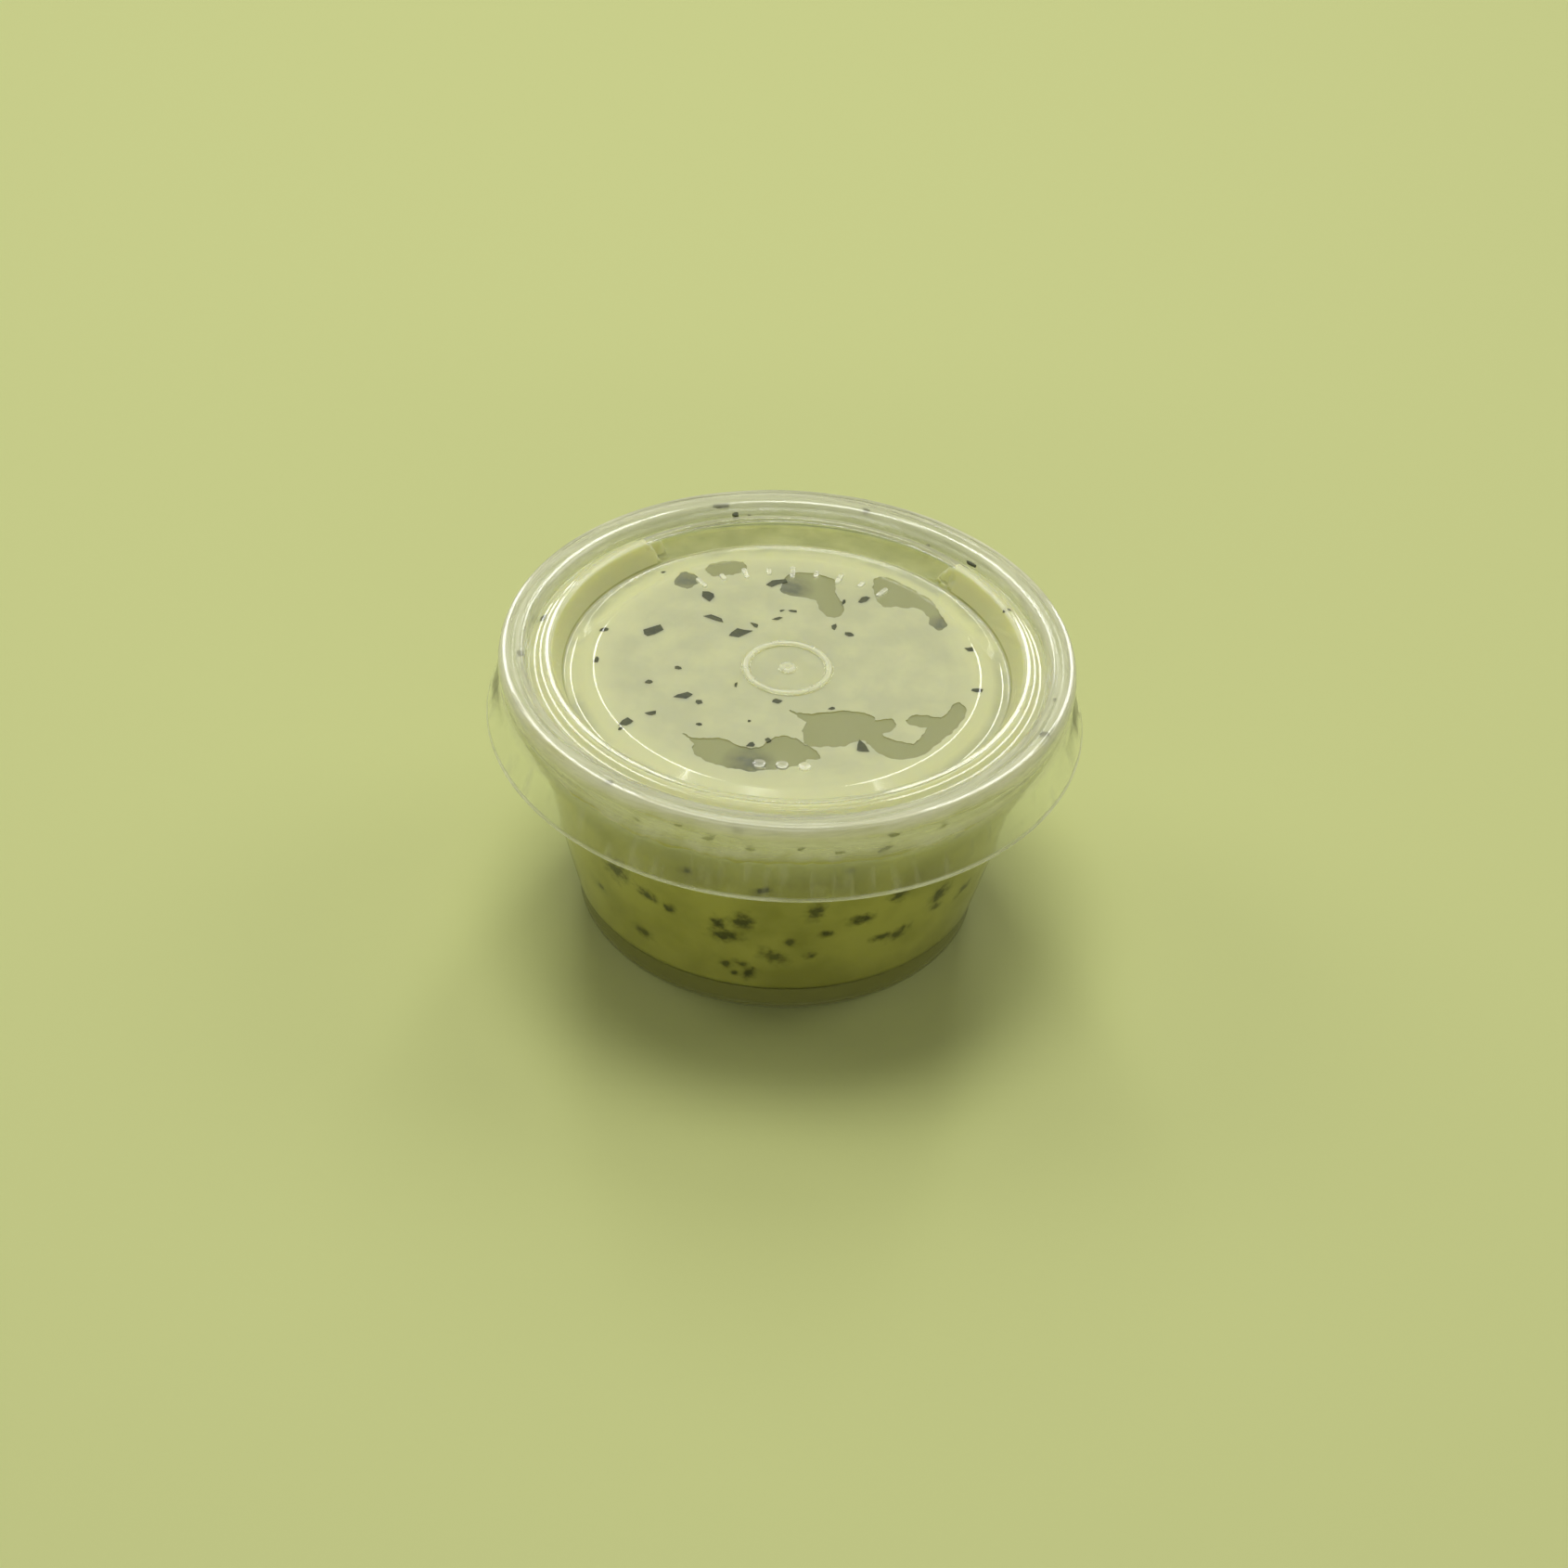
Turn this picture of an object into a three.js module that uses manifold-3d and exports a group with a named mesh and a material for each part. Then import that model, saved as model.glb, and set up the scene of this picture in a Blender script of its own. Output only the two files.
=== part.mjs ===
// A small clear portion cup of creamy herb sauce, shut with its clear snap lid.
// Millimetres, +Z up. The origin is on the cup's axis, on the surface it stands on, and -Y is the front.

import * as THREE from 'three';
import { mergeVertices } from 'three/addons/utils/BufferGeometryUtils.js';
import Module from 'manifold-3d';

const wasm = await Module();
wasm.setup();

// ---- Driving sizes ----

const overallHeight = 33;
const clearance = 0.3; // between pieces that touch
const cupSides = 60;
const lidSides = 96; // two for each rib of the skirt

const cup = {
  wall: 0.5,
  footRadius: 22.75,
  footWidth: 1.4,
  footHeight: 3.1,
  floorTop: 3.3,
  stepOut: 0.5, // the wall stands out this far over the foot
  mouthRadius: 29.7, // outside of the wall, where it turns out into the rim
  mouthHeight: 29.6,
  rimRadius: 30.95,
  rimTop: 32.2,
  rimHeight: 1.25,
};

const lid = {
  wall: 0.4,
  plateauRadius: 21.3, // flat middle
  plateauDrop: 2.9, // below the lid's highest ring
  grooveRadius: 24.3, // round the foot of the well
  grooveDrop: 3.5,
  crestRadius: 26.1, // top of the well's wall
  crestDrop: 0.6,
  ridgeRadii: [26.5, 27.27, 28.0], // three fine steps down from the crest
  ridgeFall: 0.78, // drop in height for each millimetre outwards
  ridgeRelief: 0.22,
  plugRadius: 28.4, // the seal that sits just inside the cup's mouth
  plugDrop: 1.85,
  landRadius: 30.2, // crown of the ring over the cup's rim
  shoulderRadius: 31.75,
  beadRadius: 31.3, // snaps in below the rim
  beadDrop: 3.5,
  skirtTopRadius: 31.6,
  skirtTopDrop: 4.7,
  skirtRadius: 33.2,
  skirtDrop: 8.7,
  ribRelief: 0.16,
  relief: 0.25, // height of the raised marks on the flat middle
};

// Plain raised marks on the lid's flat middle. Turns are in degrees.
const marks = {
  ringRadius: 4.6,
  ringWidth: 0.8,
  ringSides: 32,
  dotSides: 12,
  middleDot: 1,
  dashes: 9,
  dashRadius: 18.4, // the arc of dashes at the back
  dashTurn: 8.5,
  dashWidth: 0.55,
  dashLengths: [2, 1.2],
  rowDots: [-2.4, 0, 2.4], // the row of dots at the front
  rowDotPlace: -17.6,
  rowDot: 0.7,
};

const sauce = {
  topDrop: 0.3, // below the underside of the flat middle
  ringTop: 29.5, // level round the well, between it and the cup's wall
  pocketDepth: 0.8,
  pocketSides: 8,
  fleckProud: 0.13,
  fleckSunk: 0.5,
  fleckCorners: 5,
  smallTopFlecks: 10,
  smallSideFlecks: 14,
};

// ---- Helpers ----

// A seeded draw between two limits, the same on every run.
function seededDraw(seed) {
  let state = seed;
  return (low, high) => {
    state = (state * 1664525 + 1013904223) % 4294967296;
    return low + ((high - low) * state) / 4294967296;
  };
}

// A line through corners given as [radius, height, round]. A corner with a round is cut back by that
// much on both sides and turned with a curve.
function roundedLine(corners, steps = 2) {
  const points = [];
  corners.forEach(([r, z, round = 0], i) => {
    const here = new THREE.Vector2(r, z);
    if (!round) {
      points.push(here);
      return;
    }
    const before = new THREE.Vector2(corners[i - 1][0], corners[i - 1][1]).sub(here);
    const after = new THREE.Vector2(corners[i + 1][0], corners[i + 1][1]).sub(here);
    const start = here.clone().addScaledVector(before, round / before.length());
    const end = here.clone().addScaledVector(after, round / after.length());
    points.push(...new THREE.QuadraticBezierCurve(start, here, end).getPoints(steps));
  });
  return points;
}

// A closed mesh as a solid: shared corners merged, and the flat triangles on the axis dropped.
function solidOf(geometry) {
  const bare = geometry.clone();
  bare.deleteAttribute('normal');
  bare.deleteAttribute('uv');
  const merged = mergeVertices(bare, 1e-5);
  const triangles = [];
  for (let i = 0; i < merged.index.count; i += 3) {
    const [a, b, c] = [0, 1, 2].map((k) => merged.index.getX(i + k));
    if (a !== b && b !== c && c !== a) triangles.push(a, b, c);
  }
  const vertProperties = new Float32Array(merged.attributes.position.array);
  return new wasm.Manifold(
    new wasm.Mesh({ numProp: 3, vertProperties, triVerts: new Uint32Array(triangles) }),
  );
}

function joined(solids) {
  return solids.reduce((whole, next) => whole.add(next));
}

// A profile turned round the Z axis. It starts and ends on the axis, and runs out along the bottom.
function turned(profile, sides) {
  return new THREE.LatheGeometry(profile, sides).rotateX(Math.PI / 2);
}

function named(name, solid, colour, finish) {
  const made = solid.getMesh();
  const geometry = new THREE.BufferGeometry();
  geometry.setAttribute('position', new THREE.BufferAttribute(made.vertProperties, 3));
  geometry.setIndex(new THREE.BufferAttribute(made.triVerts, 1));
  geometry.computeVertexNormals();
  const mesh = new THREE.Mesh(geometry, new THREE.MeshStandardMaterial({ color: colour, ...finish }));
  mesh.name = name;
  return mesh;
}

// ---- Cup: foot ring, stepped tapering wall, rolled rim ----

function cupInnerRadius(z) {
  const foot = cup.footRadius + cup.stepOut;
  const share = (z - cup.floorTop) / (cup.mouthHeight - cup.floorTop);
  return foot + (cup.mouthRadius - foot) * share - cup.wall;
}

function makeCup() {
  const footInner = cup.footRadius - cup.footWidth;
  const floorUnder = cup.floorTop - cup.wall;
  const rimUnder = cup.rimTop - cup.rimHeight;
  const rimInner = cup.mouthRadius - 0.15;
  const profile = roundedLine([
    [0, floorUnder],
    [footInner - 0.5, floorUnder],
    [footInner, 0],
    [cup.footRadius - 0.1, 0, 0.3],
    [cup.footRadius, cup.footHeight],
    [cup.footRadius + cup.stepOut, cup.footHeight + 0.3],
    [cup.mouthRadius, cup.mouthHeight],
    [cup.mouthRadius + 0.15, rimUnder],
    [cup.rimRadius, rimUnder, 0.3],
    [cup.rimRadius, cup.rimTop, 0.4],
    [rimInner, cup.rimTop, 0.3],
    [rimInner, rimUnder],
    [cupInnerRadius(cup.mouthHeight), cup.mouthHeight],
    [cupInnerRadius(cup.floorTop), cup.floorTop, 0.9],
    [0, cup.floorTop],
  ]);
  return solidOf(turned(profile, cupSides));
}

// ---- Lid: flat middle in a well, three fine ridges, domed land over the rim, ribbed skirt ----

const plateauTop = overallHeight - lid.plateauDrop;
const plateauUnder = plateauTop - lid.wall;

function ridgeHeight(radius) {
  return overallHeight - lid.crestDrop - (radius - lid.ridgeRadii[0]) * lid.ridgeFall;
}

function lidProfile() {
  const under = (drop) => overallHeight - lid.wall - drop;
  const top = (drop) => overallHeight - drop;
  const skirtTip = top(lid.skirtDrop);
  const ridges = lid.ridgeRadii.flatMap((radius) => [
    [radius, ridgeHeight(radius) + lid.ridgeRelief / 2],
    [radius + 0.4, ridgeHeight(radius + 0.4) - lid.ridgeRelief / 2],
  ]);
  const underside = [
    [0, plateauUnder],
    [lid.plateauRadius - 0.1, plateauUnder],
    [lid.grooveRadius, under(lid.grooveDrop)],
    [lid.grooveRadius + 0.65, under(lid.grooveDrop - 0.25)],
    [lid.crestRadius + 0.2, under(lid.crestDrop)],
    [lid.plugRadius + 0.2, under(lid.plugDrop)],
    [lid.plugRadius + 0.8, under(0.2)],
    [lid.landRadius, under(0)],
    [lid.shoulderRadius - lid.wall, under(0.1), 0.8],
    [lid.shoulderRadius - lid.wall, top(2.1)],
    [lid.beadRadius - lid.wall - 0.05, top(lid.beadDrop)],
    [lid.skirtTopRadius - lid.wall, top(lid.skirtTopDrop)],
    [lid.skirtRadius - lid.wall - 0.1, skirtTip + 0.1],
  ];
  const outside = [
    [lid.skirtRadius - 0.15, skirtTip],
    [lid.skirtRadius, skirtTip + 0.25],
    [lid.skirtRadius - 0.1, skirtTip + 0.6],
    [lid.skirtTopRadius, top(lid.skirtTopDrop)],
    [lid.beadRadius, top(lid.beadDrop)],
    [lid.shoulderRadius, top(2.1)],
    [lid.shoulderRadius, top(0.15), 1.1],
    [lid.landRadius, top(0)],
    [lid.plugRadius + 0.45, top(0.25), 0.4],
    [lid.plugRadius, top(lid.plugDrop)],
    ...ridges.reverse(),
    [lid.grooveRadius + 0.3, top(lid.grooveDrop - 0.05)],
    [lid.grooveRadius - 0.4, top(lid.grooveDrop)],
    [lid.plateauRadius, plateauTop],
    [0, plateauTop],
  ];
  return roundedLine([...underside, ...outside]);
}

// Every other side of the skirt stands out a little, which makes its fine upright ribs.
function ribSkirt(geometry) {
  const place = geometry.attributes.position;
  const low = overallHeight - lid.skirtDrop + 0.2;
  const high = overallHeight - lid.skirtTopDrop + 0.05;
  const pitch = (2 * Math.PI) / lidSides;
  for (let i = 0; i < place.count; i += 1) {
    const radius = Math.hypot(place.getX(i), place.getY(i));
    const side = Math.round(Math.atan2(place.getY(i), place.getX(i)) / pitch);
    const outer = radius > lid.skirtTopRadius - lid.wall / 2;
    if (outer && side % 2 === 0 && place.getZ(i) > low && place.getZ(i) < high) {
      const scale = 1 - lid.ribRelief / radius;
      place.setXY(i, place.getX(i) * scale, place.getY(i) * scale);
    }
  }
  return geometry;
}

// Plain raised marks on the flat middle: a ring with a dot, an arc of dashes at the back, dots in front.
function lidMarks() {
  const sunk = lid.wall / 2;
  const height = lid.relief + sunk;
  const dot = (x, y, radius) =>
    solidOf(
      new THREE.CylinderGeometry(radius * 0.8, radius, height, marks.dotSides)
        .rotateX(Math.PI / 2)
        .translate(x, y, plateauTop - sunk + height / 2),
    );
  const half = marks.ringWidth / 2;
  const ring = new THREE.LatheGeometry(
    [
      [marks.ringRadius - half, plateauTop - sunk],
      [marks.ringRadius + half, plateauTop - sunk],
      [marks.ringRadius + half * 0.6, plateauTop + lid.relief],
      [marks.ringRadius - half * 0.6, plateauTop + lid.relief],
      [marks.ringRadius - half, plateauTop - sunk],
    ].map(([r, z]) => new THREE.Vector2(r, z)),
    marks.ringSides,
  ).rotateX(Math.PI / 2);
  const made = [solidOf(ring), dot(0, 0, marks.middleDot)];
  for (let i = 0; i < marks.dashes; i += 1) {
    const turn = THREE.MathUtils.degToRad((i - (marks.dashes - 1) / 2) * marks.dashTurn);
    const dash = new THREE.BoxGeometry(marks.dashWidth, marks.dashLengths[i % 2], height)
      .translate(0, marks.dashRadius, plateauTop - sunk + height / 2)
      .rotateZ(-turn);
    made.push(solidOf(dash));
  }
  for (const x of marks.rowDots) made.push(dot(x, marks.rowDotPlace, marks.rowDot));
  return made;
}

function makeLid() {
  const shell = solidOf(ribSkirt(turned(lidProfile(), lidSides)));
  return joined([shell, ...lidMarks()]);
}

// ---- Sauce: fills the cup up to the lid, with shallow air pockets and herb flecks ----

const sauceTop = plateauUnder - sauce.topDrop;

// Lobes [x, y, radius] of the air pockets trapped between the sauce and the flat middle of the lid.
const pockets = [
  [[2.6, -9, 0.9], [4, -11, 2.4], [6.6, -9.6, 2.5], [8.4, -9.6, 2], [8.6, -11.6, 1.3], [11, -9.2, 1.2],
    [10.6, -12.8, 1.6], [12.4, -13.8, 1.5], [15, -12.4, 1.6], [16.4, -10.6, 1.5], [14.6, -8.1, 1.1],
    [17.2, -8.6, 1.5], [18.7, -6.2, 1]],
  [[-9.6, -13.6, 0.7], [-7.6, -15.2, 2], [-5, -16.4, 2.1], [-2.8, -16.3, 1.9], [-0.6, -15, 2], [1.6, -14.6, 1.6],
    [3.2, -15.4, 0.8]],
  [[0, 15.8, 1.5], [2, 16.2, 2], [3.8, 15.4, 1.6], [4.6, 12.8, 1.3], [4.9, 11.4, 1.1]],
  [[10.6, 16.6, 1.7], [11.8, 14.8, 1.9], [13.8, 14.2, 1.6], [15.4, 12.6, 1.5], [16.6, 10.6, 1.1]],
  [[-12.1, 16, 1.5]],
  [[-8.6, 18.4, 1.2], [-6.6, 18.9, 1.3]],
];

// Larger flecks that lie in the top [x, y, length, width, turn in degrees].
const topFlecks = [
  [-1.8, 16.6, 1.8, 0.9, 30], [-9.4, 13.2, 1.7, 1.5, 0], [-8.4, 8.9, 2.1, 0.9, -30],
  [-15.2, 5.5, 2.5, 1.2, 50], [-5.5, 6.4, 2.1, 1.1, 25], [5, 8.4, 0.9, 0.5, 80],
  [6.7, 7.2, 1.3, 0.6, -10], [8.3, 14.1, 1.3, 0.6, 50], [-11, -5.9, 2.1, 0.9, 10],
  [-9.4, -6.9, 0.9, 0.8, 60], [-14.4, -9.5, 1.1, 0.7, 20], [-1, -6, 0.9, 0.6, 0],
  [5.1, -6.8, 0.7, 0.6, 0], [-16.9, -11.3, 1.3, 0.9, -60], [-1.2, 9.4, 1, 0.6, -40],
];

// Larger flecks that show through the cup's wall [degrees round from the front, height, length, width, turn].
const sideFlecks = [
  [-41, 16.6, 3, 2.2, 60], [-32, 15, 2, 1.2, -20], [-26, 14.2, 1.2, 1, 0], [-13.5, 14.2, 1.6, 1, 90],
  [-7.5, 15, 2.2, 1.7, 80], [-11.5, 12.1, 2.4, 1.6, 10], [9.5, 17.2, 2.5, 1.3, 80], [21.5, 15.1, 2.2, 1.3, 0],
  [30, 17.8, 1.8, 1.3, -30], [44.5, 14.6, 2.2, 1.3, 50], [44, 12.4, 1.4, 0.9, -20], [33.5, 10.5, 2.3, 1.4, 20],
  [10, 9.5, 1, 0.8, 0], [0.8, 9.3, 2.8, 1.2, -35], [-7.8, 7.6, 1.3, 0.9, -30], [-5.5, 6, 1.7, 1.2, 70],
];

function sauceBody() {
  const gap = clearance + 0.02;
  const low = cup.floorTop + clearance;
  const profile = roundedLine([
    [0, low],
    [cupInnerRadius(low) - gap, low, 0.9],
    [cupInnerRadius(sauce.ringTop) - gap, sauce.ringTop],
    [lid.grooveRadius + 1.4, sauce.ringTop],
    [lid.grooveRadius + 0.8, sauceTop - 0.65],
    [lid.grooveRadius - 0.2, sauceTop - 0.75],
    [lid.plateauRadius + 0.1, sauceTop - 0.05],
    [lid.plateauRadius - 0.6, sauceTop],
    [0, sauceTop],
  ]);
  return solidOf(turned(profile, cupSides));
}

function pocketSolid(lobes) {
  const discs = lobes.map(([x, y, radius]) =>
    solidOf(
      new THREE.CylinderGeometry(radius, radius * 0.85, sauce.pocketDepth * 2, sauce.pocketSides)
        .rotateX(Math.PI / 2)
        .translate(x, y, sauceTop),
    ),
  );
  return joined(discs);
}

// A flat chip with an uneven outline, lying in the XY plane, its top sauce.fleckProud over z = 0.
function fleckPlate(length, width, draw) {
  const outline = new THREE.Shape();
  for (let i = 0; i < sauce.fleckCorners; i += 1) {
    const angle = ((i + draw(-0.25, 0.25)) / sauce.fleckCorners) * 2 * Math.PI;
    const reach = draw(0.75, 1.1) / 2;
    const point = [length * reach * Math.cos(angle), width * reach * Math.sin(angle)];
    if (i) outline.lineTo(...point);
    else outline.moveTo(...point);
  }
  const depth = sauce.fleckProud + sauce.fleckSunk;
  return new THREE.ExtrudeGeometry(outline, { depth, bevelEnabled: false }).translate(0, 0, -sauce.fleckSunk);
}

function topFleck([x, y, length, width, turn], draw) {
  const plate = fleckPlate(length, width, draw).rotateZ(THREE.MathUtils.degToRad(turn));
  return solidOf(plate.translate(x, y, sauceTop));
}

function sideFleck([around, height, length, width, turn], draw) {
  const radius = cupInnerRadius(height) - clearance - 0.02;
  const lean = Math.atan2(cup.mouthRadius - cup.footRadius - cup.stepOut, cup.mouthHeight - cup.floorTop);
  const plate = fleckPlate(length, width, draw).rotateZ(THREE.MathUtils.degToRad(turn));
  plate.rotateX(Math.PI / 2 + lean).translate(0, -radius, height);
  return solidOf(plate.rotateZ(THREE.MathUtils.degToRad(around)));
}

function makeSauce() {
  const draw = seededDraw(29);
  const flecks = [
    ...topFlecks.map((row) => topFleck(row, draw)),
    ...sideFlecks.map((row) => sideFleck(row, draw)),
  ];
  for (let i = 0; i < sauce.smallTopFlecks; i += 1) {
    const angle = (i + draw(0, 0.6)) * ((2 * Math.PI) / sauce.smallTopFlecks);
    const radius = draw(12, 20);
    const place = [radius * Math.cos(angle), radius * Math.sin(angle)];
    const size = draw(0.5, 0.9);
    flecks.push(topFleck([...place, size, size * 0.7, draw(0, 180)], draw));
  }
  for (let i = 0; i < sauce.smallSideFlecks; i += 1) {
    const around = 65 + (230 / sauce.smallSideFlecks) * (i + draw(0, 0.7));
    const size = draw(1, 2.4);
    flecks.push(sideFleck([around, draw(6, 26), size, size * 0.6, draw(0, 180)], draw));
  }
  return joined([sauceBody(), ...flecks]).subtract(joined(pockets.map(pocketSolid)));
}

// ---- The whole part ----

const group = new THREE.Group();
group.add(
  named('cup', makeCup(), 0xe4ead2, { roughness: 0.18, metalness: 0, transparent: true, opacity: 0.35 }),
  named('lid', makeLid(), 0xe9eedb, { roughness: 0.15, metalness: 0, transparent: true, opacity: 0.3 }),
  named('sauce', makeSauce(), 0xc9ca9b, { roughness: 0.5, metalness: 0 }),
);

export default group;
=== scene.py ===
# A small clear portion cup of creamy herb sauce, shut with its clear lid, on a pale table.
import math
import random

import bmesh
import bpy
from mathutils import Matrix, Vector, noise


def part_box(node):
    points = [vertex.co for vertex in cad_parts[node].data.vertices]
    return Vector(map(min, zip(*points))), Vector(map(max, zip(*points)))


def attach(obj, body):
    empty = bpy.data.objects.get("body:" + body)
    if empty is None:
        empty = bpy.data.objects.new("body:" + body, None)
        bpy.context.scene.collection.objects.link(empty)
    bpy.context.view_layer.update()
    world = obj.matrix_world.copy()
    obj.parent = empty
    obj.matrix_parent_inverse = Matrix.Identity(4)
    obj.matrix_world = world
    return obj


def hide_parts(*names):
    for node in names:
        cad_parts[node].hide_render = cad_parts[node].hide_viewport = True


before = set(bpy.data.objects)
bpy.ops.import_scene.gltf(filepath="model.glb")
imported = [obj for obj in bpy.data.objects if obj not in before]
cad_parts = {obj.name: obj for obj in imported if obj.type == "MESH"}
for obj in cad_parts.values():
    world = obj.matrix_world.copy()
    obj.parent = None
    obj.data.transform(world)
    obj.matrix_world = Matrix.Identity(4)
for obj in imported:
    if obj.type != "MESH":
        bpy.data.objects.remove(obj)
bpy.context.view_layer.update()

noise.seed_set(1)  # without it noise_vector changes from run to run
mm = 0.001  # metres in a millimetre: every size below is in millimetres
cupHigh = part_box("cup")[1]
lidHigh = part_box("lid")[1]
overallHeight = lidHigh.z / mm
roundSteps = 384  # round the axis
cornerSteps = 4  # in a rounded corner of a profile
mergeGap = 0.0004  # points of a turned profile that are closer than this become one
sharpAngle = 38  # degrees: a bend of more than this looks sharp


# Shared tools

# A line through corners given as (radius, height, round). A corner with a round is cut back by
# that much on both sides and turned with a curve.
def roundedLine(corners):
    points = []
    for i, corner in enumerate(corners):
        here = Vector(corner[:2])
        if len(corner) == 2:
            points.append(here)
            continue
        before = Vector(corners[i - 1][:2]) - here
        after = Vector(corners[i + 1][:2]) - here
        start = here + before.normalized() * corner[2]
        end = here + after.normalized() * corner[2]
        for k in range(cornerSteps + 1):
            t = k / cornerSteps
            points.append(start * (1 - t) ** 2 + here * 2 * t * (1 - t) + end * t ** 2)
    return points


# The height of a line of (radius, height) points at one radius. Its radii only grow.
def heightAlong(line, radius):
    for a, b in zip(line, line[1:]):
        if b.x > a.x and a.x <= radius <= b.x:
            return a.y + (b.y - a.y) * (radius - a.x) / (b.x - a.x)
    return line[-1].y if radius > line[-1].x else line[0].y


# A profile turned round the Z axis, with its faces outwards.
def spinProfile(profile):
    mesh = bmesh.new()
    corners = [mesh.verts.new((p.x, 0, p.y)) for p in profile]
    edges = [mesh.edges.new(pair) for pair in zip(corners, corners[1:])]
    bmesh.ops.spin(mesh, geom=corners + edges, cent=(0, 0, 0), axis=(0, 0, 1), angle=2 * math.pi,
                   steps=roundSteps, use_merge=True)
    bmesh.ops.remove_doubles(mesh, verts=mesh.verts, dist=mergeGap)
    bmesh.ops.recalc_face_normals(mesh, faces=mesh.faces)
    if mesh.calc_volume(signed=True) < 0:
        bmesh.ops.reverse_faces(mesh, faces=mesh.faces)
    return mesh


# A mesh in millimetres becomes an object in metres.
def toObject(name, mesh):
    bmesh.ops.scale(mesh, vec=(mm, mm, mm), verts=mesh.verts)
    data = bpy.data.meshes.new(name)
    mesh.to_mesh(data)
    mesh.free()
    thing = bpy.data.objects.new(name, data)
    bpy.context.scene.collection.objects.link(thing)
    return thing


# Joins or cuts one object with another, which is then removed.
def combine(thing, tool, operation):
    change = thing.modifiers.new("combine", "BOOLEAN")
    change.object = tool
    change.operation = operation
    change.solver = "MANIFOLD"
    graph = bpy.context.evaluated_depsgraph_get()
    made = bpy.data.meshes.new_from_object(thing.evaluated_get(graph))
    thing.modifiers.clear()
    thing.data = made
    made.name = thing.name
    bpy.data.objects.remove(tool)


# Smooth shading with its sharp edges, the finishes, and the place in the model.
def finishPiece(thing, finishes, replaced=None):
    thing.data.shade_smooth()
    thing.data.set_sharp_from_angle(angle=math.radians(sharpAngle))
    thing.data.materials.clear()
    for finish in finishes:
        thing.data.materials.append(finish)
    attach(thing, "root")
    if replaced:
        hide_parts(replaced)
    print("made", thing.name, "faces", len(thing.data.polygons))


# A smooth closed loop through a few points, with some steps from each to the next.
def smoothLoop(points, steps):
    loop = []
    count = len(points)
    for i in range(count):
        a, b, c, d = [Vector(points[(i + k) % count]) for k in (-1, 0, 1, 2)]
        for k in range(steps):
            t = k / steps
            loop.append(0.5 * (2 * b + (c - a) * t + (2 * a - 5 * b + 4 * c - d) * t ** 2
                               + (3 * b - a - 3 * c + d) * t ** 3))
    return loop


def smoothStep(low, high, value):
    t = min(max((value - low) / (high - low), 0), 1)
    return t * t * (3 - 2 * t)


# Camera, which comes first because some flecks are placed along its sight lines

cameraView = {
    "aimHeight": overallHeight,
    "distance": 346,
    "elevation": 35.9,  # degrees, of the lid's top ring as the camera sees it
    "pitch": 38.4,
    "heading": 0.07,
    "roll": 3.2,
    "sensor": 36,
    "lens": 72.43,
}


def makeCamera():
    view = cameraView
    data = bpy.data.cameras.new("camera")
    data.sensor_width = view["sensor"]
    data.lens = view["lens"]
    data.clip_start = 0.01
    data.clip_end = 20
    camera = bpy.data.objects.new("camera", data)
    bpy.context.scene.collection.objects.link(camera)
    up = math.radians(view["elevation"])
    place = Vector((0, -math.cos(up), math.sin(up))) * view["distance"]
    place.z += view["aimHeight"]
    turn = (Matrix.Rotation(math.radians(-view["heading"]), 4, "Z")
            @ Matrix.Rotation(math.radians(90 - view["pitch"]), 4, "X")
            @ Matrix.Rotation(math.radians(view["roll"]), 4, "Z"))
    camera.matrix_world = Matrix.Translation(place * mm) @ turn
    bpy.context.scene.camera = camera
    return place


eye = makeCamera()


# Finishes

def newFinish(name):
    finish = bpy.data.materials.new(name)
    finish.use_nodes = True
    finish.node_tree.nodes.clear()
    return finish.node_tree


def addNode(tree, kind, links=(), **values):
    node = tree.nodes.new("ShaderNode" + kind)
    for name, value in values.items():
        setattr(node, name, value)
    for socket, source in dict(links).items():
        if isinstance(source, bpy.types.NodeSocket):
            tree.links.new(source, node.inputs[socket])
        else:
            node.inputs[socket].default_value = source
    return node


def setOutput(tree, shader):
    addNode(tree, "OutputMaterial", {"Surface": shader})


def objectPlace(tree):
    return addNode(tree, "TexCoord").outputs["Object"]


def stretched(tree, place, scale):
    return addNode(tree, "VectorMath", {0: place, 1: scale}, operation="MULTIPLY").outputs[0]


def axisDistance(tree, place):
    flat = stretched(tree, place, (1, 1, 0))
    return addNode(tree, "VectorMath", {0: flat}, operation="LENGTH").outputs["Value"]


def heightOf(tree, place):
    return addNode(tree, "SeparateXYZ", {0: place}).outputs["Z"]


def placeNoise(tree, place, scale, detail=3):
    return addNode(tree, "TexNoise", {"Vector": place, "Scale": scale, "Detail": detail}).outputs["Fac"]


def objectNoise(tree, scale, detail=3):
    return placeNoise(tree, objectPlace(tree), scale, detail)


def calculate(tree, operation, *numbers):
    return addNode(tree, "Math", dict(enumerate(numbers)), operation=operation).outputs[0]


def remap(tree, source, low, high, toLow, toHigh):
    return addNode(tree, "MapRange", {"Value": source, "From Min": low, "From Max": high,
                                      "To Min": toLow, "To Max": toHigh}).outputs["Result"]


def mixColours(tree, factor, a, b):
    mixer = addNode(tree, "Mix", data_type="RGBA")
    for socket, source in ((0, factor), (6, a), (7, b)):
        if isinstance(source, bpy.types.NodeSocket):
            tree.links.new(source, mixer.inputs[socket])
        else:
            mixer.inputs[socket].default_value = source
    return mixer.outputs[2]


def mixShaders(tree, factor, a, b):
    return addNode(tree, "MixShader", {0: factor, 1: a, 2: b}).outputs[0]


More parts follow.
